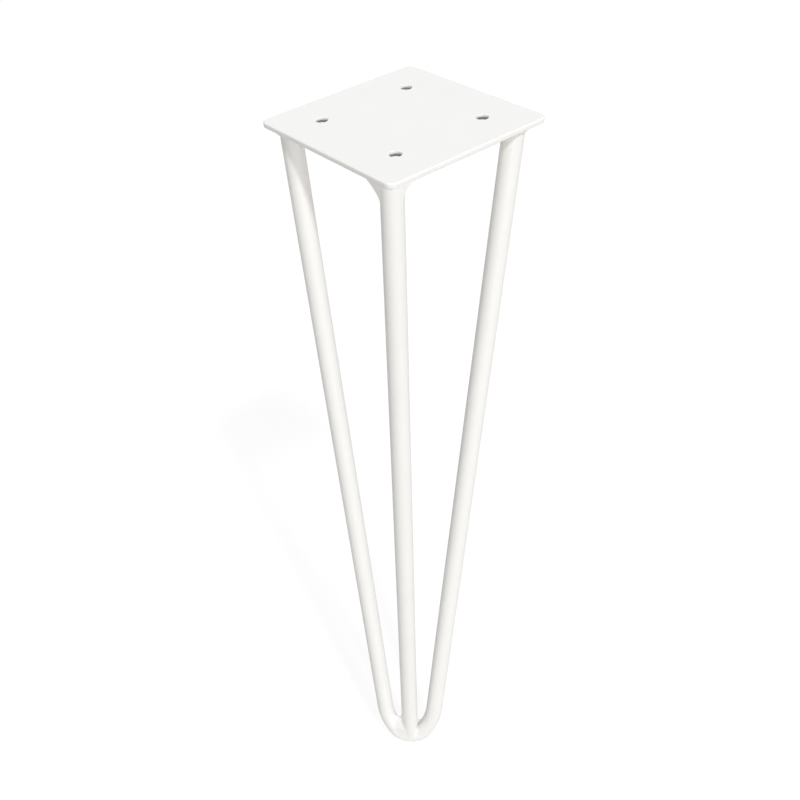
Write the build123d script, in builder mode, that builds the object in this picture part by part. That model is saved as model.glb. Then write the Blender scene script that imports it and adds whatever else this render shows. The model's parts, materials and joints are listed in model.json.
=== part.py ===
from build123d import *
import os
from math import acos, atan2, cos, hypot, radians, sin, sqrt

# Hairpin table leg: a square mounting plate, one round rod bent into a hairpin, and a third straight
# rod from the plate's front corner down to the inside of the bend. The welds are pieces of their own.
# The origin is the centre of the plate's top face, +Z is up, and the front corner points to -Y.

# Mounting plate
plate_width = 90.0
plate_thickness = 2.5
plate_corner_radius = 4.0
screw_hole_diameter = 5.5
screw_hole_spacing = 50.0

# Rods
rod_diameter = 10.0
leg_height = 400.0
hairpin_front_inset = 6.8       # middle of each hairpin end, from the plate's front edge
hairpin_back_inset = 13.9       # the same, from the plate's back edge
foot_reach = 62.0               # lowest point of the bend ahead of the plate's centre
bend_radius = 10.0              # tight bend at the foot, to the middle of the rod
shoulder_radius = 50.0          # gentle curve between the tight bend and each straight side
bend_turn = 58.5                # degrees, half of the tight bend
cope_height = 2.5               # end of the front rod above the middle of the bent rod
trim_allowance = 6.0            # rod above the plate's underside before the ends are cut flush

# Welds
bead_leg = 1.5                  # small beads at the hairpin's ends
bead_toe = 0.2                  # blunt lower edge of a bead
front_bead_out = 4.7            # front bead, out along the plate
front_bead_down = 10.0          # front bead, down along the rod
front_bead_waist_out = 2.2      # out at the waist of its hollow side
front_bead_waist_down = 2.0     # down to the waist
front_bead_offset = 1.3         # the front bead is heavier on the left by this much
front_bead_margin = 0.3         # front bead inside the plate's edges
foot_weld_top_left = 16.0       # upper end of the left fill above the middle of the bent rod
foot_weld_top_right = 11.5      # upper end of the right fill
foot_weld_depth_left = 3.6      # half thickness of the left fill
foot_weld_depth_right = 2.6     # half thickness of the right fill

# Values that follow
rod_radius = rod_diameter / 2
unit_diagonal = sqrt(2)
half_diagonal = plate_width / unit_diagonal
screw_circle_radius = screw_hole_spacing / unit_diagonal
hairpin_half_width = half_diagonal - (hairpin_front_inset + hairpin_back_inset) / unit_diagonal
hairpin_set_forward = (hairpin_back_inset - hairpin_front_inset) / unit_diagonal
underside = Plane.XY.offset(-plate_thickness)
across = Vector(1, 0, 0)
upright = Vector(0, 0, 1)

# The front rod stands in the front corner, with its sides flush with the plate's two edges there.
front_rod_reach = half_diagonal - rod_radius * unit_diagonal
foot_centre = Vector(0, -foot_reach, rod_radius - leg_height)
front_rod_top = Vector(0, -front_rod_reach, -plate_thickness)
front_rod_up = (front_rod_top - foot_centre).normalized()
front_rod_length = (front_rod_top - foot_centre).length

# The hairpin lies in a leaning plane. It is drawn from the lowest point of its bend.
hairpin_top = Vector(0, -hairpin_set_forward, -plate_thickness)
hairpin_rise = (hairpin_top - foot_centre).length
hairpin_up = (hairpin_top - foot_centre).normalized()
hairpin_plane = Plane(origin=foot_centre, x_dir=across, z_dir=across.cross(hairpin_up))

# The right shoulder's centre, and the lean of the straight side that runs from it to the plate.
turn = radians(bend_turn)
shoulder_x = (bend_radius - shoulder_radius) * sin(turn)
shoulder_y = bend_radius - (bend_radius - shoulder_radius) * cos(turn)
side_across = hairpin_half_width - shoulder_x
side_along = hairpin_rise - shoulder_y
side_lean = acos(shoulder_radius / hypot(side_across, side_along)) - atan2(side_along, side_across)
side_end = (
    hairpin_half_width + trim_allowance * sin(side_lean),
    hairpin_rise + trim_allowance * cos(side_lean),
)


def on_shoulder(angle):
    """Point of the right shoulder, by its angle from straight down."""
    return (shoulder_x + shoulder_radius * sin(angle), shoulder_y - shoulder_radius * cos(angle))


def to_left(point):
    """The same point on the hairpin's left side."""
    return (-point[0], point[1])


side_foot_angle = radians(90) - side_lean
side_foot = on_shoulder(side_foot_angle)
shoulder_middle = on_shoulder((side_foot_angle + turn) / 2)
bend_end = on_shoulder(turn)

os.makedirs("parts", exist_ok=True)

# Mounting plate: the square stands on its corner, so that the leg is alike on its left and right.
with BuildPart() as mounting_plate:
    with BuildSketch(underside):
        RectangleRounded(plate_width, plate_width, plate_corner_radius, rotation=45)
        with PolarLocations(screw_circle_radius, 4):
            Circle(screw_hole_diameter / 2, mode=Mode.SUBTRACT)
    extrude(amount=plate_thickness)
mounting_plate.part.label = "mounting_plate"
export_step(mounting_plate.part, "parts/mounting_plate.step")

# Hairpin rod: two straight sides, their shoulders and the tight bend, with the ends cut flush.
with BuildPart() as hairpin_rod:
    with BuildLine(hairpin_plane) as hairpin_line:
        Line(to_left(side_end), to_left(side_foot))
        ThreePointArc(to_left(side_foot), to_left(shoulder_middle), to_left(bend_end))
        ThreePointArc(to_left(bend_end), (0, 0), bend_end)
        ThreePointArc(bend_end, shoulder_middle, side_foot)
        Line(side_foot, side_end)
    with BuildSketch(Plane(origin=hairpin_line.line @ 0, z_dir=hairpin_line.line % 0)):
        Circle(rod_radius)
    sweep()
    split(bisect_by=underside, keep=Keep.BOTTOM)
hairpin_rod.part.label = "hairpin_rod"
export_step(hairpin_rod.part, "parts/hairpin_rod.step")

# Front rod: a straight rod whose lower end is coped to the bend.
with BuildPart() as front_rod:
    with BuildSketch(Plane(origin=foot_centre + front_rod_up * cope_height, z_dir=front_rod_up)):
        Circle(rod_radius)
    extrude(amount=front_rod_length - cope_height + trim_allowance)
    split(bisect_by=underside, keep=Keep.BOTTOM)
    add(hairpin_rod.part, mode=Mode.SUBTRACT)
front_rod.part.label = "front_rod"
export_step(front_rod.part, "parts/front_rod.step")

# Small beads round the hairpin's two ends.
left_end = hairpin_top - across * hairpin_half_width
with BuildPart() as plate_weld_left:
    with BuildSketch(Plane(origin=left_end, x_dir=across, z_dir=across.cross(upright))):
        with BuildLine():
            Polyline(
                (0, 0),
                (rod_radius + bead_leg, 0),
                (rod_radius + bead_toe, -bead_leg),
                (0, -bead_leg),
                close=True,
            )
        make_face()
    revolve(axis=Axis(left_end, upright))
    add(hairpin_rod.part, mode=Mode.SUBTRACT)
plate_weld_left.part.label = "plate_weld_left"
export_step(plate_weld_left.part, "parts/plate_weld_left.step")

with BuildPart() as plate_weld_right:
    add(plate_weld_left.part.mirror(Plane.YZ))
plate_weld_right.part.label = "plate_weld_right"
export_step(plate_weld_right.part, "parts/plate_weld_right.step")

# Front bead: a hollow-sided bell set a little to the left of the rod, kept inside the plate's edges.
# Its outline has a corner as round as the rod, so none of the bead lies in front of the rod.
bell_centre = front_rod_top - across * front_bead_offset
with BuildPart() as plate_weld_front:
    with BuildSketch(Plane(origin=bell_centre, x_dir=across, z_dir=across.cross(upright))):
        with BuildLine():
            ThreePointArc(
                (rod_radius + front_bead_out, 0),
                (rod_radius + front_bead_waist_out, -front_bead_waist_down),
                (rod_radius - front_bead_offset + bead_toe, -front_bead_down),
            )
            Polyline(
                (rod_radius - front_bead_offset + bead_toe, -front_bead_down),
                (0, -front_bead_down),
                (0, 0),
                (rod_radius + front_bead_out, 0),
            )
        make_face()
    revolve(axis=Axis(bell_centre, upright))
    with BuildSketch(underside):
        RectangleRounded(
            plate_width - 2 * front_bead_margin,
            plate_width - 2 * front_bead_margin,
            rod_radius,
            rotation=45,
        )
    extrude(amount=-front_bead_down, mode=Mode.INTERSECT)
    add(front_rod.part, mode=Mode.SUBTRACT)
plate_weld_front.part.label = "plate_weld_front"
export_step(plate_weld_front.part, "parts/plate_weld_front.step")

# Foot fills: drawn midway between the hairpin and the front rod, inside the bent rod's middle line.
foot_up = (hairpin_up + front_rod_up).normalized()
foot_plane = Plane(origin=foot_centre, x_dir=across, z_dir=across.cross(foot_up))
bend_middle = (bend_radius * sin(turn / 2), bend_radius - bend_radius * cos(turn / 2))


def foot_fill(height, depth):
    """Right-hand fill up to a height above the bend's lowest point, with half its thickness."""
    upper_angle = acos((shoulder_y - height) / shoulder_radius)
    shoulder_upper = on_shoulder(upper_angle)
    with BuildPart() as fill:
        with BuildSketch(foot_plane):
            with BuildLine():
                ThreePointArc((0, 0), bend_middle, bend_end)
                ThreePointArc(bend_end, on_shoulder((turn + upper_angle) / 2), shoulder_upper)
                Polyline(shoulder_upper, (0, height), (0, 0))
            make_face()
        extrude(amount=depth, both=True)
        add(hairpin_rod.part, mode=Mode.SUBTRACT)
        add(front_rod.part, mode=Mode.SUBTRACT)
    return fill.part


with BuildPart() as foot_weld_left:
    add(foot_fill(foot_weld_top_left, foot_weld_depth_left).mirror(Plane.YZ))
foot_weld_left.part.label = "foot_weld_left"
export_step(foot_weld_left.part, "parts/foot_weld_left.step")

with BuildPart() as foot_weld_right:
    add(foot_fill(foot_weld_top_right, foot_weld_depth_right))
foot_weld_right.part.label = "foot_weld_right"
export_step(foot_weld_right.part, "parts/foot_weld_right.step")
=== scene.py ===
# %% [markdown]
# # A hairpin table leg in white powder coat
#
# The leg is a square steel plate that screws to a table top, a round rod bent into a hairpin, and a third,
# straight rod that runs from the plate's front corner down to the inside of the bend. A metal shop cuts the
# plate, bends the rod, welds it all together and then bakes one coat of white powder over everything.
# The lesson follows that order: plate, rods, welds, coat, and last the light and the camera.
#
# The construction is already there as a fixed frame, in metres, with the origin at the centre of the plate's
# top face. Each piece made here takes its place from that frame.

# %% Load the frame
import json
from math import acos, atan2, cos, degrees, hypot, pi, radians, sin, sqrt

import bmesh
import bpy
from mathutils import Matrix, Vector


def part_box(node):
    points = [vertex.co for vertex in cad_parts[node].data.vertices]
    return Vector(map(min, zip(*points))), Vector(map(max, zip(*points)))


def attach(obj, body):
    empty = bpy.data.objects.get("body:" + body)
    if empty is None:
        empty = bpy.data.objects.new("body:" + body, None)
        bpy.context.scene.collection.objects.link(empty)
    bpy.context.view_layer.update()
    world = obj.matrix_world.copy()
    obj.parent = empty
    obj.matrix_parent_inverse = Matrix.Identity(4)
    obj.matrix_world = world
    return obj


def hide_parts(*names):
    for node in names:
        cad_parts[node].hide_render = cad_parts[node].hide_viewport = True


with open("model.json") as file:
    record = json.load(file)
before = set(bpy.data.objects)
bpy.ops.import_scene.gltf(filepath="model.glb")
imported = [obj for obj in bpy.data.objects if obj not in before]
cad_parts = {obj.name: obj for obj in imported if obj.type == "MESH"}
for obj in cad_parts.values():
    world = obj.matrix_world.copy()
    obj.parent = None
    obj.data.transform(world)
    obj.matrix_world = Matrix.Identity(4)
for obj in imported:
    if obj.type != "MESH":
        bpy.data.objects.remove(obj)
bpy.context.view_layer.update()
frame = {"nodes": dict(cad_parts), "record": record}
mm = 0.001
print("nodes in the frame:", sorted(frame["nodes"]))

# %% [markdown]
# ## Sizes
#
# Most sizes are read from the frame, so the pieces fit it by themselves. A box says how thick the plate is,
# how thick the rod is and where the foot stands. The screw holes are in the record, where a buyer would look
# for them. A box can't tell how round a corner or a bend is, so those sizes are written down, and so is the
# spare length of a rod before its ends are cut.

# %% Read the sizes
plate_low, plate_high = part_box("mounting_plate")
front_low, front_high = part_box("front_rod")
hairpin_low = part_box("hairpin_rod")[0]
left_bead_low, left_bead_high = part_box("plate_weld_left")
screws = next(mount for mount in frame["record"]["mounts"] if mount["name"] == "plate_screws")["dims"]

plate_thickness = plate_high.z - plate_low.z
underside = plate_low.z
rod_radius = (front_high.x - front_low.x) / 2
foot = Vector((0, hairpin_low.y + rod_radius, hairpin_low.z + rod_radius))
front_top = Vector((0, front_high.y - rod_radius, underside))
left_top = (left_bead_low + left_bead_high) / 2
left_top.z = underside
hole_radius = screws["hole_r_mm"] * mm
hole_reach = screws["pcd_mm"] / 2 * mm

corner_radius = 4.0 * mm
bend_radius = 10.0 * mm
shoulder_radius = 50.0 * mm
bend_turn = radians(58.5)
trim = 6.0 * mm
print("plate %.2f mm thick, rod %.2f mm" % (plate_thickness / mm, 2 * rod_radius / mm))

# %% [markdown]
# ## Tools for the bench
#
# Blender's operators work on whatever is selected, and loading the frame leaves its nodes selected. So the
# first two helpers clear the selection and take one piece in hand. The others do what is needed again and
# again: put a new primitive's place into its mesh, select edges by their place, add a modifier and apply it,
# copy a piece, and cut one piece with another.


# %% Small helpers
def clear_bench():
    """Deselect everything, ready for a new piece."""
    bpy.ops.object.select_all(action="DESELECT")


def take(piece):
    """Make one piece the only selected and the active one."""
    clear_bench()
    piece.select_set(True)
    bpy.context.view_layer.objects.active = piece


def settle(name):
    """Name the new primitive and move its place into its mesh."""
    piece = bpy.context.object
    piece.name = name
    bpy.ops.object.transform_apply(location=True, rotation=True, scale=True)
    return piece


def select_edges(piece, test):
    """In edit mode, select the edges whose two ends pass a test."""
    bpy.ops.mesh.select_mode(type="EDGE")
    bpy.ops.mesh.select_all(action="DESELECT")
    mesh = bmesh.from_edit_mesh(piece.data)
    for edge in mesh.edges:
        if test(edge.verts[0].co, edge.verts[1].co):
            edge.select_set(True)
    bmesh.update_edit_mesh(piece.data)


def apply_modifier(piece, kind, **settings):
    """Add one modifier, set it and apply it."""
    take(piece)
    modifier = piece.modifiers.new(kind, kind)
    for name, value in settings.items():
        setattr(modifier, name, value)
    bpy.ops.object.modifier_apply(modifier=modifier.name)


def copy_of(piece, name):
    """A copy with a mesh of its own."""
    take(piece)
    bpy.ops.object.duplicate()
    twin = bpy.context.object
    twin.name = name
    return twin


def cut(piece, operation, tool, solver="MANIFOLD"):
    """Combine a piece with a tool, and put the tool away."""
    apply_modifier(piece, "BOOLEAN", operation=operation, object=tool, solver=solver)
    bpy.data.objects.remove(tool)


# %% [markdown]
# ## The mounting plate
#
# The real plate is cut from 2.5 mm sheet. A cube is scaled to the sheet and turned on its corner, because
# the leg is alike on its left and right when the front corner points forward. Its four upright edges are
# bevelled into round corners. Then its rims get a small rounding: melted powder never leaves a sharp edge,
# and without it no edge of the plate would catch the light. The screw holes come last. Each is cut with a
# drill that widens towards both faces, so the hole and its rounded rims are made in one cut.

# %% Cut the plate
plate_width = (plate_high.x + corner_radius * (sqrt(2) - 1)) * sqrt(2)
corner_steps = 12
rim_rounding = 0.65 * mm
rim_steps = 5
near = 0.05 * mm


def rounded_square(name, width, corner, low, high):
    """A square block that stands on its corner, with round upright edges, between two heights."""
    clear_bench()
    bpy.ops.mesh.primitive_cube_add(
        size=1,
        location=(0, 0, (low + high) / 2),
        rotation=(0, 0, pi / 4),
        scale=(width, width, high - low),
    )
    block = settle(name)
    bpy.ops.object.mode_set(mode="EDIT")
    select_edges(block, lambda a, b: abs(a.z - b.z) > (high - low) / 2)
    bpy.ops.mesh.bevel(offset=corner, segments=corner_steps, affect="EDGES")
    bpy.ops.object.mode_set(mode="OBJECT")
    return block


plate = rounded_square("coated_plate", plate_width, corner_radius, underside, 0)
take(plate)
bpy.ops.object.mode_set(mode="EDIT")
select_edges(plate, lambda a, b: abs(a.z - b.z) < near)
bpy.ops.mesh.bevel(offset=rim_rounding, segments=rim_steps, affect="EDGES")
bpy.ops.object.mode_set(mode="OBJECT")
print("plate:", len(plate.data.polygons), "faces with its rims")

# %% Drill the screw holes
hole_steps = 64
hole_rounding = 0.4 * mm
crease = radians(40)
hole_middles = [Vector((hole_reach * cos(i * pi / 2), hole_reach * sin(i * pi / 2), 0)) for i in range(4)]
rim_turns = [pi / 2 * i / rim_steps for i in range(rim_steps + 1)]
hole_rim = [(hole_rounding * (1 - sin(turn)), hole_rounding * (1 - cos(turn))) for turn in rim_turns]
drill_levels = [(hole_rounding, plate_thickness)]
drill_levels += [(wider, -depth) for wider, depth in hole_rim]
drill_levels += [(wider, underside + depth) for wider, depth in reversed(hole_rim)]
drill_levels += [(hole_rounding, underside - plate_thickness)]


def turned_body(name, sides, levels):
    """A round closed body: a ring is pushed from middle to middle and takes a new radius at each."""
    place, radius = levels[0]
    clear_bench()
    bpy.ops.mesh.primitive_circle_add(vertices=sides, radius=radius, location=place)
    body = settle(name)
    bpy.ops.object.mode_set(mode="EDIT")
    bpy.ops.mesh.select_all(action="SELECT")
    for middle, next_radius in levels[1:]:
        bpy.ops.mesh.extrude_region_move(TRANSFORM_OT_translate={"value": middle - place})
        share = next_radius / radius
        bpy.ops.transform.resize(value=(share, share, 1), center_override=middle)
        place, radius = middle, next_radius
    bpy.ops.mesh.select_all(action="SELECT")
    bpy.ops.mesh.fill_holes(sides=0)
    bpy.ops.mesh.select_all(action="SELECT")
    bpy.ops.mesh.normals_make_consistent(inside=False)
    bpy.ops.object.mode_set(mode="OBJECT")
    return body


def drill(middle):
    """A round cutter that widens towards the plate's two faces."""
    levels = [(middle + Vector((0, 0, height)), hole_radius + wider) for wider, height in drill_levels]
    return turned_body("drill", hole_steps, levels)


def shade(piece, sharp):
    """Shade a piece smooth, except over edges sharper than an angle, and keep its flat faces flat."""
    take(piece)
    bpy.ops.object.shade_smooth_by_angle(angle=sharp)
    apply_modifier(piece, "WEIGHTED_NORMAL", weight=100, keep_sharp=True)


for hole_middle in hole_middles:
    cut(plate, "DIFFERENCE", drill(hole_middle), solver="EXACT")
shade(plate, crease)
print("holes drilled: %d, plate: %d faces" % (len(hole_middles), len(plate.data.polygons)))

# %% [markdown]
# ## The hairpin
#
# The hairpin is one straight bar, bent cold round a former. Its two long sides run almost straight, a gentle
# shoulder leads each of them into the foot, and there the bar turns tightly. A bar like this could be a curve
# with a bevel. Here a circle is pushed along the way that the bar takes: extruded down the first side, spun
# round the shoulder, the tight bend and the other shoulder, and extruded up the second side. So every ring
# stands square to the bar, and the arcs are true arcs.
#
# The hairpin lies in a plane that leans forward. All its points are worked out flat, from the lowest point of
# the bend, and then placed in that plane.

# %% Lay out the hairpin
across = Vector((1, 0, 0))
hairpin_top = Vector((0, left_top.y, underside))
hairpin_up = (hairpin_top - foot).normalized()
hairpin_out = across.cross(hairpin_up)
half_width = -left_top.x
rise = (hairpin_top - foot).length

shoulder_x = (bend_radius - shoulder_radius) * sin(bend_turn)
shoulder_y = bend_radius - (bend_radius - shoulder_radius) * cos(bend_turn)
side_x = half_width - shoulder_x
side_y = rise - shoulder_y
side_lean = acos(shoulder_radius / hypot(side_x, side_y)) - atan2(side_y, side_x)
shoulder_turn = pi / 2 - side_lean - bend_turn


def in_hairpin(x, y):
    """Place a flat point in the leaning plane of the hairpin."""
    return foot + across * x + hairpin_up * y


side_foot = (
    shoulder_x + shoulder_radius * cos(side_lean),
    shoulder_y - shoulder_radius * sin(side_lean),
)
side_end = (half_width + trim * sin(side_lean), rise + trim * cos(side_lean))
print("the sides lean %.2f degrees" % degrees(side_lean))

# %% Bend the hairpin
rod_sides = 64
side_steps = 8
shoulder_steps = 10
bend_steps = 32
left_end = in_hairpin(-side_end[0], side_end[1])
left_run = in_hairpin(-side_foot[0], side_foot[1]) - left_end
right_run = in_hairpin(*side_end) - in_hairpin(*side_foot)


def rod_ring(name, middle, along):
    """Start a rod as an open circle, square to its run, and leave it in edit mode."""
    clear_bench()
    bpy.ops.mesh.primitive_circle_add(
        vertices=rod_sides,
        radius=rod_radius,
        location=middle,
        rotation=along.to_track_quat("Z", "Y").to_euler(),
    )
    piece = settle(name)
    bpy.ops.object.mode_set(mode="EDIT")
    bpy.ops.mesh.select_all(action="SELECT")
    return piece


def run_straight(run, steps):
    """Push the selected ring along a straight run."""
    for _ in range(steps):
        bpy.ops.mesh.extrude_region_move(TRANSFORM_OT_translate={"value": run / steps})


def run_round(middle, turn, steps):
    """Swing the selected ring round a point of the hairpin's plane."""
    bpy.ops.mesh.spin(steps=steps, angle=-turn, center=in_hairpin(*middle), axis=hairpin_out)


def trim_ends(height):
    """Cut the rod level at a height, cap it, and turn its faces outwards."""
    bpy.ops.mesh.select_all(action="SELECT")
    bpy.ops.mesh.bisect(plane_co=(0, 0, height), plane_no=(0, 0, 1), use_fill=True, clear_outer=True)
    bpy.ops.mesh.select_all(action="SELECT")
    bpy.ops.mesh.normals_make_consistent(inside=False)
    bpy.ops.object.mode_set(mode="OBJECT")
    bpy.ops.object.shade_smooth_by_angle(angle=crease)


hairpin = rod_ring("coated_hairpin", left_end, left_run)
run_straight(left_run, side_steps)
run_round((-shoulder_x, shoulder_y), shoulder_turn, shoulder_steps)
run_round((0, bend_radius), 2 * bend_turn, bend_steps)
run_round((shoulder_x, shoulder_y), shoulder_turn, shoulder_steps)
run_straight(right_run, side_steps)
trim_ends(underside)
lowest = min(vertex.co.z for vertex in hairpin.data.vertices)
print("hairpin: %d faces, lowest at %.2f mm" % (len(hairpin.data.polygons), lowest / mm))

# %% [markdown]
# ## The front rod
#
# The third rod is a plain straight bar. Its foot end is ground to a saddle, so that it sits on the inside of
# the bend. The saddle is cut here with a copy of the hairpin itself, so the two fit without a gap. The upper
# end stands flush with the plate's corner, and the weld's heat has run its rim into the groove under the
# plate's round edge. So this end is left a little long and cut with a copy of the plate. Near both ends the
# rings lie close together, because a cut through a long face would leave it badly shaded.

# %% Make the front rod
cope_height = rod_radius / 5
joint_length = 24 * mm
upper_steps = 48
lower_steps = 32
front_up = (front_top - foot).normalized()
front_end = front_top + front_up * trim
front_run = foot + front_up * cope_height - front_end
joint_run = front_run.normalized() * joint_length
front_rod = rod_ring("coated_front_rod", front_end, front_run)
run_straight(joint_run, upper_steps)
run_straight(front_run - 2 * joint_run, side_steps)
run_straight(joint_run, lower_steps)
bpy.ops.mesh.edge_face_add()
trim_ends(underside + rim_rounding)
cut(front_rod, "DIFFERENCE", copy_of(hairpin, "saddle_cutter"))
cut(front_rod, "DIFFERENCE", copy_of(plate, "rim_cutter"))
shade(front_rod, crease)
print("front rod:", len(front_rod.data.polygons), "faces")

# %% [markdown]
# ## Welds
#
# A weld is metal that has run into a corner and frozen there. Its top is round where it was fed and hollow
# where it wets the parts. Building such a form face by face is slow, so it is made the way it forms: drops of
# metal are laid in the corner, joined with slightly thinner copies of the parts, and remeshed into one skin
# that is smoothed until it flows. Then the true parts are cut out of it, which leaves only the weld metal.
# Where the metal should run out into both parts without an edge, the skin is first swollen and shrunk again,
# which fills narrow corners, and the finished weld borrows the shading of the whole skin.

# %% Drops, blocks and crumbs
drop_sides = 20
drop_rings = 12
crumb = 60


def drop(middle, radii, turn):
    """One drop of metal: a ball, squashed to its three radii and turned about the upright axis."""
    clear_bench()
    bpy.ops.mesh.primitive_uv_sphere_add(
        segments=drop_sides,
        ring_count=drop_rings,
        radius=1,
        location=middle,
        rotation=(0, 0, turn),
        scale=radii,
    )
    return settle("drop")


def box(name, low, high):
    """A plain block between two corners, for cutting."""
    clear_bench()
    bpy.ops.mesh.primitive_cube_add(size=1, location=(low + high) / 2, scale=high - low)
    return settle(name)


def near_part(part, low, high):
    """Copy of a part, cut down to the box round a weld."""
    piece = copy_of(part, "near_part")
    cut(piece, "INTERSECT", box("weld_box", low, high), solver="EXACT")
    return piece


def join(pieces):
    """Make one piece of several."""
    take(pieces[0])
    for piece in pieces[1:]:
        piece.select_set(True)
    if len(pieces) > 1:
        bpy.ops.object.join()
    return bpy.context.object


def sweep_crumbs(piece):
    """Delete loose bits that have too few points to be weld metal."""
    take(piece)
    bpy.ops.object.mode_set(mode="EDIT")
    bpy.ops.mesh.separate(type="LOOSE")
    bpy.ops.object.mode_set(mode="OBJECT")
    bits = list(bpy.context.selected_objects)
    kept = [bit for bit in bits if len(bit.data.vertices) > crumb]
    for bit in bits:
        if bit not in kept:
            bpy.data.objects.remove(bit)
    return join(kept)


# %% A weld from drops
voxel = 0.22 * mm
flow = 0.5
swell_smoothing = 6
weld_crease = radians(50)


def swell_and_shrink(metal, amount):
    """Fill the narrow corners of a skin."""
    apply_modifier(metal, "DISPLACE", strength=amount, mid_level=0)
    apply_modifier(metal, "REMESH", mode="VOXEL", voxel_size=voxel)
    apply_modifier(metal, "SMOOTH", factor=flow, iterations=swell_smoothing)
    apply_modifier(metal, "DISPLACE", strength=-amount, mid_level=0)
    apply_modifier(metal, "REMESH", mode="VOXEL", voxel_size=voxel)


def borrow_shading(piece, skin):
    """Shade a piece like the skin that it was cut from."""
    take(piece)
    bpy.ops.object.shade_smooth()
    apply_modifier(
        piece,
        "DATA_TRANSFER",
        object=skin,
        use_loop_data=True,
        data_types_loops={"CUSTOM_NORMAL"},
        loop_mapping="POLYINTERP_NEAREST",
    )


def weld(name, parts, drops, low, high, sink, smoothing, mould, hollow=0.0):
    """Run drops of metal together with their parts, and keep the metal that lies inside a mould."""
    near_parts = [near_part(part, low, high) for part in parts]
    thin_parts = [copy_of(part, "thin_part") for part in near_parts]
    for part in thin_parts:
        apply_modifier(part, "DISPLACE", strength=-sink, mid_level=0)
    metal = join(thin_parts + drops)
    apply_modifier(metal, "REMESH", mode="VOXEL", voxel_size=voxel)
    if hollow:
        swell_and_shrink(metal, hollow)
    apply_modifier(metal, "SMOOTH", factor=flow, iterations=smoothing)
    bpy.ops.object.shade_smooth()
    skin = copy_of(metal, "skin")
    for part in near_parts:
        cut(metal, "DIFFERENCE", part)
    cut(metal, "INTERSECT", mould)
    metal = sweep_crumbs(metal)
    metal.name = name
    if hollow:
        borrow_shading(metal, skin)
    else:
        shade(metal, weld_crease)
    bpy.data.objects.remove(skin)
    print("%s: %d faces" % (name, len(metal.data.polygons)))
    return metal


# %% [markdown]
# ### Beads at the hairpin's ends
#
# Round each end of the hairpin the welder made one small bead. A bead is a row of drops that overlap, so it
# keeps a ripple for each. The drops are squashed along the way the torch went, and every drop differs a
# little from the next one, by a formula, so that the bead looks made by hand and still comes out the same
# each time.

# %% Lay the two end beads
bead_size = 1.35 * mm
bead_drops = 28
bead_sink = 0.16 * mm
bead_smoothing = 7
bead_room = 2.4 * rod_radius
drop_squash = 0.62


def uneven(i):
    """A size near 1 that differs from drop to drop."""
    return 1 + 0.08 * sin(5.1 * i) + 0.05 * sin(2.3 * i + 1)


def bead_ring(middle, direction):
    """Drops round a rod's end, one after the other in a direction."""
    drops = []
    for i in range(bead_drops):
        turn = direction * 2 * pi * i / bead_drops
        size = bead_size * uneven(i)
        place = middle + Vector((cos(turn), sin(turn), 0)) * rod_radius
        drops.append(drop(place, (size, drop_squash * size, size), turn))
    return drops


def end_bead(name, middle, direction):
    """One bead between a hairpin end and the plate."""
    room = Vector((bead_room, bead_room, 0))
    low = middle - room - Vector((0, 0, 3 * bead_size))
    high = middle + room + Vector((0, 0, plate_thickness / 2))
    mould = rounded_square("mould", plate_width, corner_radius, low.z, underside)
    drops = bead_ring(middle, direction)
    return weld(name, [plate, hairpin], drops, low, high, bead_sink, bead_smoothing, mould)


right_top = Vector((-left_top.x, left_top.y, left_top.z))
bead_left = end_bead("bead_left", left_top, 1)
bead_right = end_bead("bead_right", right_top, -1)

# %% [markdown]
# ### The bead at the front corner
#
# The front rod stands flush with the plate's corner, so its bead can only lie behind it and beside it. It is
# the heaviest weld of the leg: a bell with hollow sides, which flares out under the plate's edges like a
# gusset, more on the left than on the right. A ring is pushed down the rod and shrinks at each level. The
# mould is almost as wide as the plate and reaches up to its straight edge, so the flare ends flush and fills
# the groove there. Its corner is as round as the rod, so no metal lies in front of the rod.

# %% Lay the front bead
flare_levels = 14
flare_depth = 10.0 * mm
flare_left = 6.0 * mm
flare_right = 3.2 * mm
left_hollow = 2.8
right_hollow = 4
bell_sides = 64
edge_margin = 0.04 * mm
front_smoothing = 10
front_room = 18 * mm
front_room_ahead = 10 * mm
front_room_below = 17 * mm


def bell_level(depth):
    """Middle and radius of the bell at a share of its depth."""
    left = flare_left * (1 - depth) ** left_hollow
    right = flare_right * (1 - depth) ** right_hollow
    middle = front_top - front_up * flare_depth * depth + across * (right - left) / 2
    return middle, rod_radius + (left + right) / 2


def flare():
    """A bell round the top of the front rod, which starts inside the plate."""
    middle, radius = bell_level(0)
    levels = [(middle + Vector((0, 0, plate_thickness / 2)), radius)]
    levels += [bell_level(level / flare_levels) for level in range(flare_levels + 1)]
    return turned_body("bell", bell_sides, levels)


front_box_low = front_top - Vector((front_room, front_room_ahead, front_room_below))
front_box_high = front_top + Vector((front_room, front_room, plate_thickness / 2))
front_mould = rounded_square(
    "mould", plate_width - 2 * edge_margin, rod_radius, front_box_low.z, underside + rim_rounding
)
bead_front = weld(
    "bead_front",
    [plate, front_rod],
    [flare()],
    front_box_low,
    front_box_high,
    bead_sink,
    front_smoothing,
    front_mould,
)

# %% [markdown]
# ### The foot
#
# At the foot the straight rod ends inside the tight bend, and weld metal fills the two corners between them.
# The left corner is filled high: the metal is flush with the rods at the bottom, slopes back as it rises and
# ends level. The right corner has only a web at the back, so a narrow groove stays open beside the rod. Each
# fill starts as flat slices, one above the other, that reach from the middle of the straight rod to the
# middle of the bent one. A skin is wrapped round the slices, and the smoothing runs it into both rods. A
# mould on each side keeps the two fills apart.

# %% Slices for the foot
# Each level: height above the foot's middle, then the slice's front and back, in millimetres.
left_levels = [
    (0.6, -4.9, 2.0),
    (4.0, -4.95, 2.2),
    (10.0, -4.75, 1.6),
    (14.0, -3.7, 0.8),
    (18.5, -2.2, -0.6),
]
right_levels = [(3.0, 2.2, 4.0), (9.6, 2.2, 4.0), (11.2, 2.2, 2.6)]


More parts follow.
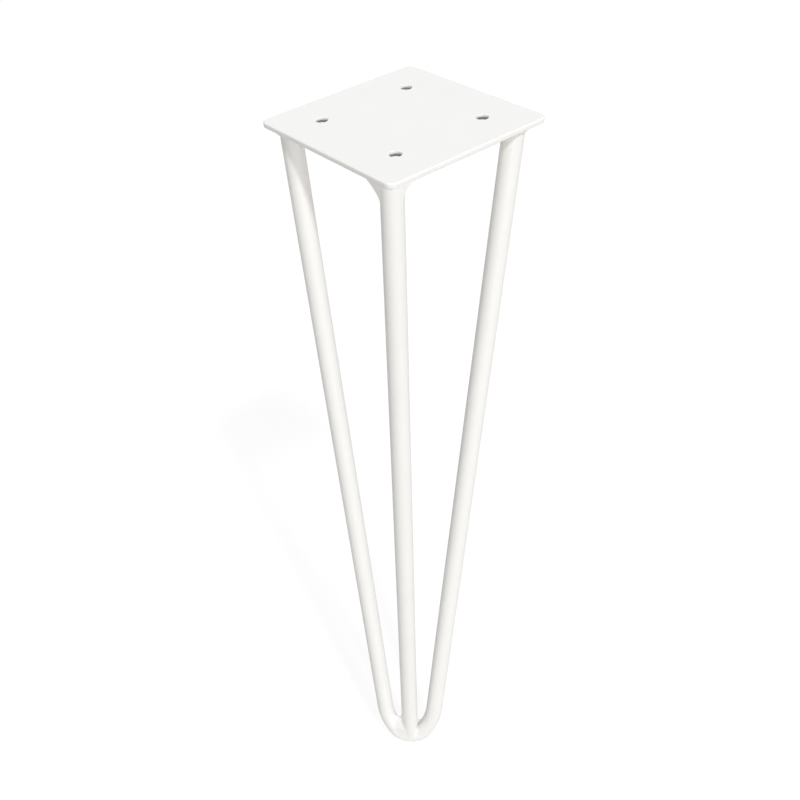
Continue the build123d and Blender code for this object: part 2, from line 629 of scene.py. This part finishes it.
def half_gap(height):
    """From the foot's middle to the middle of the bent rod, at a height above the foot."""
    if height < bend_radius * (1 - cos(bend_turn)):
        return sqrt(bend_radius**2 - (bend_radius - height) ** 2)
    return shoulder_x + sqrt(shoulder_radius**2 - (shoulder_y - height) ** 2)


def metal_slice(side, height, front, back):
    """One flat slice between the middles of the two rods, from its front to its back."""
    inner = foot + front_up * height
    outer = foot + hairpin_up * height + across * side * half_gap(height)
    run = (outer - inner) * side
    clear_bench()
    bpy.ops.mesh.primitive_cube_add(
        size=1,
        location=(inner + outer) / 2 + Vector((0, (front + back) / 2, 0)),
        rotation=(0, 0, atan2(run.y, run.x)),
        scale=(run.length, back - front, voxel),
    )
    return settle("slice")


def wrapped(side, levels):
    """Slices at several levels, given in millimetres, in one skin."""
    metal = join([metal_slice(side, *(size * mm for size in level)) for level in levels])
    bpy.ops.object.mode_set(mode="EDIT")
    bpy.ops.mesh.select_all(action="SELECT")
    bpy.ops.mesh.convex_hull()
    bpy.ops.object.mode_set(mode="OBJECT")
    return metal


left_metal = wrapped(-1, left_levels)
right_metal = wrapped(1, right_levels)
print("foot metal: %d and %d slices" % (len(left_levels), len(right_levels)))

# %% Fill the foot
fill_sink = 0.06 * mm
fill_hollow = 1.6 * mm
left_smoothing = 30
right_smoothing = 10
parting = 1.0 * mm
web_front = 1.0 * mm
foot_room = 22 * mm
foot_room_ahead = 10 * mm
foot_room_behind = 12 * mm
foot_room_above = 28 * mm
mould_reach = 15 * mm
mould_inset_behind = 2 * mm
mould_inset_above = 6 * mm
foot_low = foot - Vector((foot_room, foot_room_ahead, 2 * rod_radius))
foot_high = foot + Vector((foot_room, foot_room_behind, foot_room_above))
mould_low = Vector((-mould_reach, foot.y - rod_radius + edge_margin, foot.z - rod_radius))
mould_high = Vector((mould_reach, foot_high.y - mould_inset_behind, foot_high.z - mould_inset_above))
left_mould = box("mould", mould_low, Vector((parting, mould_high.y, mould_high.z)))
right_mould = box("mould", Vector((parting, foot.y + web_front, mould_low.z)), mould_high)
foot_parts = [hairpin, front_rod]
fill_left = weld(
    "fill_left",
    foot_parts,
    [left_metal],
    foot_low,
    foot_high,
    fill_sink,
    left_smoothing,
    left_mould,
    fill_hollow,
)
fill_right = weld(
    "fill_right",
    foot_parts,
    [right_metal],
    foot_low,
    foot_high,
    bead_sink,
    right_smoothing,
    right_mould,
)

# %% [markdown]
# ## The white coat
#
# Powder coat is a plastic that is dusted on and melted, so it has a soft satin gloss and a faint waviness
# that finishers call orange peel. It is a little whiter where it lies thick and greyer where it is thin.
# Three noises give that: a broad one for the thickness, one of about two millimetres for the peel, and a
# fine one for the grain. They read the object's own coordinates, in metres, so the coat runs on from one
# piece to the next without a seam. On the plate, the walls of the four screw holes are painted dark grey
# below their rims: painted shade for the dark inside of the holes.
#
# The sums are written in Python. A small class wraps a socket, and each sum adds its own node.


# %% Sums with sockets
class Signal:
    """One socket of a node tree, for sums written in Python."""

    def __init__(self, tree, socket=None):
        self.tree = tree
        self.socket = socket

    def node(self, kind, settings=None, sockets=None, output=0):
        """Add a node: its settings first, then the values or links of its sockets."""
        made = self.tree.nodes.new(kind)
        for name, value in (settings or {}).items():
            setattr(made, name, value)
        for name, value in (sockets or {}).items():
            if isinstance(value, Signal):
                self.tree.links.new(value.socket, made.inputs[name])
            else:
                made.inputs[name].default_value = value
        return Signal(self.tree, made.outputs[output] if made.outputs else None)

    def math(self, operation, first, second):
        return self.node("ShaderNodeMath", {"operation": operation}, {0: first, 1: second})

    def __add__(self, other):
        return self.math("ADD", self, other)

    def __sub__(self, other):
        return self.math("SUBTRACT", self, other)

    def __mul__(self, other):
        return self.math("MULTIPLY", self, other)

    def __pow__(self, other):
        return self.math("POWER", self, other)

    def __abs__(self):
        return self.math("ABSOLUTE", self, 0.0)

    __radd__ = __add__
    __rmul__ = __mul__


def new_material(name):
    """An empty material and the start of its sums."""
    material = bpy.data.materials.new(name)
    material.use_nodes = True
    material.node_tree.nodes.clear()
    return material, Signal(material.node_tree)


# %% Noises, steps and mixes
def noise(start, place, waves, detail):
    """A noise with so many waves to the metre, from 0 to 1."""
    return start.node(
        "ShaderNodeTexNoise",
        {"noise_dimensions": "3D"},
        {"Vector": place, "Scale": waves, "Detail": detail},
    )


def ramp(start, value, low, high):
    """A soft step from 0 at one value to 1 at another."""
    return start.node(
        "ShaderNodeMapRange",
        {"interpolation_type": "SMOOTHSTEP"},
        {0: value, 1: low, 2: high, 3: 0.0, 4: 1.0},
    )


def mix_colors(start, share, first, second):
    """The first colour at a share of 0, the second at 1."""
    return start.node("ShaderNodeMix", {"data_type": "RGBA"}, {0: share, 6: first, 7: second}, output=2)


# %% Mix the coat
thick_white = (0.905, 0.9, 0.885, 1)
thin_white = (0.87, 0.87, 0.86, 1)
# painted shade: a dark grey for the lower walls of the screw holes, standing in for their dark inside
hole_shade_grey = (0.26, 0.26, 0.26, 1)
thickness_waves, peel_waves, grain_waves = 55, 520, 2600
satin = 0.4
thick_dulls, grain_dulls, hole_wall_dulls = 0.1, 0.04, 0.2
grain_share = 0.25
peel_strength = 0.35
peel_depth = 0.05 * mm
plastic_ior = 1.5
wall_margin = 0.25 * mm
grey_from, grey_below = -0.8 * mm, -1.4 * mm


def hole_shade_mask(start, place):
    """Painted shade for the screw holes: 1 down on the walls of the four holes, 0 on the open faces and at
    the upper rims.
    """
    split = start.node("ShaderNodeSeparateXYZ", sockets={0: place})
    x, y, z = (Signal(start.tree, output) for output in split.socket.node.outputs)
    along_x = (abs(x) - hole_reach) ** 2 + y**2
    along_y = x**2 + (abs(y) - hole_reach) ** 2
    distance = start.math("MINIMUM", along_x, along_y) ** 0.5
    in_hole = ramp(start, distance, hole_radius + wall_margin, hole_radius)
    return in_hole * ramp(start, z, grey_from, grey_below)


def white_coat(name, has_holes):
    """Satin white powder coat."""
    material, start = new_material(name)
    place = start.node("ShaderNodeTexCoord", output="Object")
    thickness = noise(start, place, thickness_waves, 2)
    peel = noise(start, place, peel_waves, 1)
    grain = noise(start, place, grain_waves, 2)
    color = mix_colors(start, thickness, thin_white, thick_white)
    roughness = satin + thick_dulls * thickness + grain_dulls * grain
    if has_holes:
        # painted shade: the screw holes' walls turn dark grey below their rims, and a little duller
        hole_shade = hole_shade_mask(start, place)
        color = mix_colors(start, hole_shade, color, hole_shade_grey)
        roughness = roughness + hole_wall_dulls * hole_shade
    bump = start.node(
        "ShaderNodeBump",
        sockets={"Strength": peel_strength, "Distance": peel_depth, "Height": peel + grain_share * grain},
    )
    shader = start.node(
        "ShaderNodeBsdfPrincipled",
        sockets={"Base Color": color, "Roughness": roughness, "Normal": bump, "IOR": plastic_ior},
    )
    start.node("ShaderNodeOutputMaterial", sockets={"Surface": shader})
    return material


coat = white_coat("white_coat_rods", has_holes=False)
plate_coat = white_coat("white_coat_plate", has_holes=True)
print("coats mixed:", coat.name, plate_coat.name)

# %% [markdown]
# ## Hand the pieces over
#
# Each piece stands for one node of the frame, rides on the leg's only body and takes one of the two white
# coats: the plate has its own, and the rods and welds share the other.

# %% Coat and mount the pieces
stands_for = {
    plate: "mounting_plate",
    hairpin: "hairpin_rod",
    front_rod: "front_rod",
    bead_left: "plate_weld_left",
    bead_right: "plate_weld_right",
    bead_front: "plate_weld_front",
    fill_left: "foot_weld_left",
    fill_right: "foot_weld_right",
}
for piece, node in stands_for.items():
    piece.data.materials.clear()
    piece.data.materials.append(plate_coat if piece == plate else coat)
    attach(piece, "root")
    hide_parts(node)
    print("%-18s stands for %s" % (piece.name, node))

# %% [markdown]
# ## Floor and light
#
# The leg is white and so is its background, so only shade can draw it. One key lamp stands in front, on the
# right and above: it lights the rods from their right, and throws the plate's shadow on the left one. A large
# soft lamp on the camera's side fills the fronts, a smaller one above lights the plate, and a dim world fills
# the rest. The floor and the world look pure white to the camera and in reflections, but give the leg only as
# much light as a pale floor would. What is left of the key on the floor keeps the leg's shadow, very faint.


# %% Lay the floor
def seen_directly(start):
    """1 for rays from the camera, or from a mirror or glass, 0 for the light that bounces."""
    seen = start.node("ShaderNodeLightPath", output="Is Camera Ray")
    rays = seen.socket.node.outputs
    glossy = Signal(start.tree, rays["Is Glossy Ray"])
    through = Signal(start.tree, rays["Is Transmission Ray"])
    return start.math("MAXIMUM", start.math("MAXIMUM", seen, glossy), through)


white = (1, 1, 1, 1)
floor_width = 14
floor_glow = 0.9
floor_shade = (0.14, 0.14, 0.14, 1)
floor_bounce = (0.7, 0.67, 0.63, 1)
clear_bench()
bpy.ops.mesh.primitive_plane_add(size=floor_width, location=(0, 0, hairpin_low.z))
floor = settle("floor")
floor_material, start = new_material("pale_floor")
glow = start.node("ShaderNodeEmission", sockets={"Color": white, "Strength": floor_glow})
shadow_keeper = start.node("ShaderNodeBsdfDiffuse", sockets={"Color": floor_shade})
shown = start.node("ShaderNodeAddShader", sockets={0: glow, 1: shadow_keeper})
bounce = start.node("ShaderNodeBsdfDiffuse", sockets={"Color": floor_bounce})
surface = start.node("ShaderNodeMixShader", sockets={0: seen_directly(start), 1: bounce, 2: shown})
start.node("ShaderNodeOutputMaterial", sockets={"Surface": surface})
floor.data.materials.append(floor_material)
print("floor at %.1f mm" % (hairpin_low.z / mm))

# %% Light the world
world_fill = 0.3
world_tint = (0.98, 0.99, 1, 1)
world = bpy.data.worlds.new("studio")
world.use_nodes = True
world.node_tree.nodes.clear()
bpy.context.scene.world = world
start = Signal(world.node_tree)
dim = start.node("ShaderNodeBackground", sockets={"Color": world_tint, "Strength": world_fill})
bright = start.node("ShaderNodeBackground", sockets={"Color": white, "Strength": 1})
sky = start.node("ShaderNodeMixShader", sockets={0: seen_directly(start), 1: dim, 2: bright})
start.node("ShaderNodeOutputWorld", sockets={"Surface": sky})
bpy.context.scene.view_settings.view_transform = "Standard"
print("world: fill of", world_fill)


# %% Hang the lamps
def new_lamp(name, kind, energy, color, place, target):
    """A lamp at a place, turned to a target."""
    light = bpy.data.lights.new(name, kind)
    light.energy = energy
    light.color = color
    lamp = bpy.data.objects.new(name, light)
    bpy.context.scene.collection.objects.link(lamp)
    lamp.location = place
    lamp.rotation_euler = (place - target).to_track_quat("Z", "Y").to_euler()
    return lamp


def soft_lamp(name, power, width, place, target):
    """A round white lamp with a soft light."""
    lamp = new_lamp(name, "AREA", power, white[:3], place, target)
    lamp.data.shape = "DISK"
    lamp.data.size = width
    return lamp


key_side = radians(31)
key_height = radians(54)
key_strength = 1.5
key_tint = (1, 0.995, 0.985)
key_softness = radians(5)
key_from = Vector((sin(key_side) * cos(key_height), -cos(key_side) * cos(key_height), sin(key_height)))
plate_middle = Vector((0, 0, 0))
key = new_lamp("key", "SUN", key_strength, key_tint, key_from, plate_middle)
key.data.angle = key_softness

front_power, front_width = 11.0, 1.2
front_place = Vector((0.75, -1.7, 0.3))
soft_front = soft_lamp("soft_front", front_power, front_width, front_place, foot / 2)

top_power, top_width = 4.6, 0.9
top_place = Vector((0, 0, 1.2))
soft_top = soft_lamp("soft_top", top_power, top_width, top_place, plate_middle)
print("lamps:", key.name, soft_front.name, soft_top.name)

# %% [markdown]
# ## The camera
#
# The camera stands close, a little to the right, and looks down on the plate at about forty degrees. It is
# rolled by five degrees, and the picture is shifted sideways, as when a larger picture is cropped. The focal
# length and the middle of the larger picture are in pixels.

# %% Set the camera
picture_width = 800
focal_length = 945.7
middle_x = 334.7
middle_y = 401.9
sensor_width = 36
nearest = 0.01
camera_place = (0.03104, -0.3993, 0.17192)
camera_turn = radians(10.255)
camera_down = radians(39.624)
camera_roll = radians(-5.238)
camera_data = bpy.data.cameras.new("camera")
camera_data.sensor_width = sensor_width
camera_data.lens = sensor_width * focal_length / picture_width
camera_data.shift_x = (picture_width / 2 - middle_x) / picture_width
camera_data.shift_y = (middle_y - picture_width / 2) / picture_width
camera_data.clip_start = nearest
camera = bpy.data.objects.new("camera", camera_data)
bpy.context.scene.collection.objects.link(camera)
turned = Matrix.Rotation(camera_turn, 4, "Z")
lowered = Matrix.Rotation(pi / 2 - camera_down, 4, "X")
rolled = Matrix.Rotation(camera_roll, 4, "Z")
camera.matrix_world = Matrix.Translation(camera_place) @ turned @ lowered @ rolled
bpy.context.scene.camera = camera
print("lens %.1f mm" % camera_data.lens)
